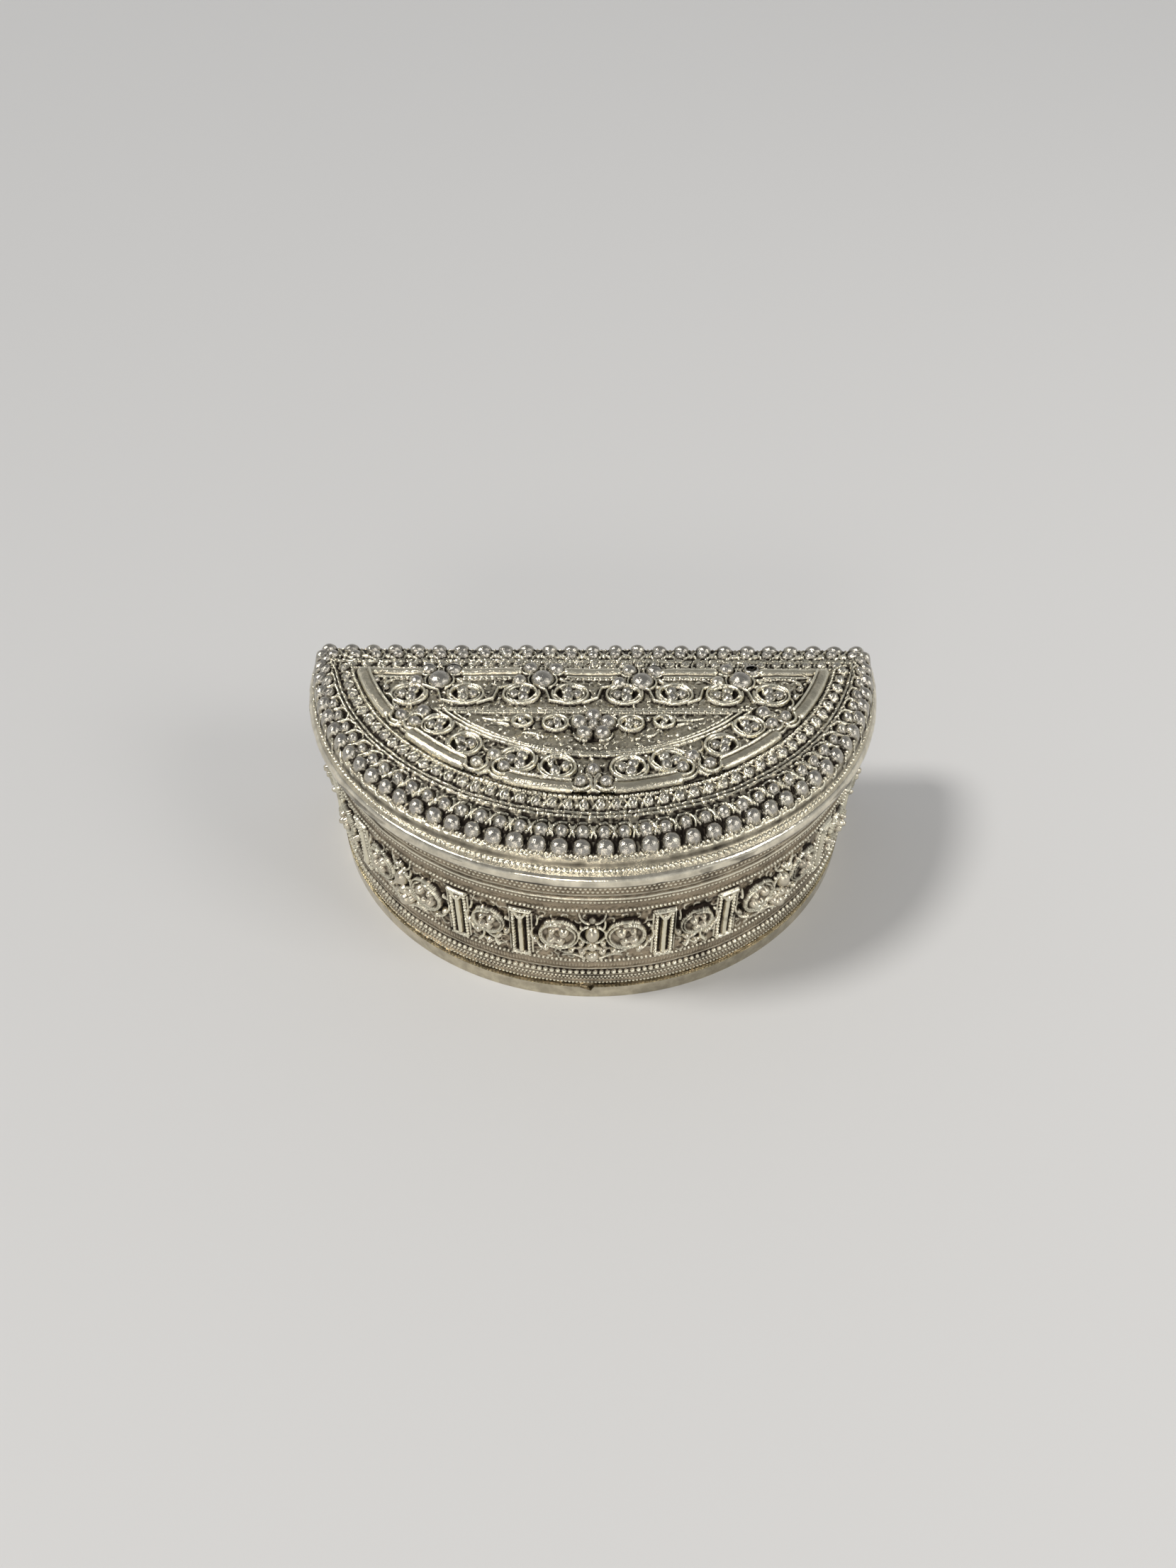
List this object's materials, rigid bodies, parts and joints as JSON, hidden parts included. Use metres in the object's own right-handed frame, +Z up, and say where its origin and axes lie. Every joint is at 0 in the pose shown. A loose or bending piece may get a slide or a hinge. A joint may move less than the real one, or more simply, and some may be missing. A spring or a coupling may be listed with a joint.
{
  "type": "betel lime box",
  "caption": "Half-moon silver lime box: a chased body in a base tray, an upright inner collar and a lift-off repousse lid with a beaded border.",
  "frame": {"origin": "under the middle of the box, on the surface it stands on", "axes": "+X along the straight back to the viewer's right, +Y towards the straight back, +Z up"},
  "size_m": [0.096, 0.0514, 0.037],
  "materials": {
    "base_tray": "worn silver sheet with a soft polish",
    "body_wall": "chased silver with dark tarnish in the hollows",
    "body_collar": "plain silver sheet",
    "lid_top": "repousse silver with dark tarnish in the hollows",
    "lid_rim": "polished silver moulding"
  },
  "bodies": {
    "box": {"base_tray": "base_tray", "body_wall": "body_wall", "body_collar": "body_collar"},
    "lid": {"lid_top": "lid_top", "lid_rim": "lid_rim"}
  },
  "joints": [
    {"name": "lid_lift", "type": "slide", "parent": "box", "child": "lid", "axis": [0, 0, 1], "range_m": [0, 0.035]}
  ]
}
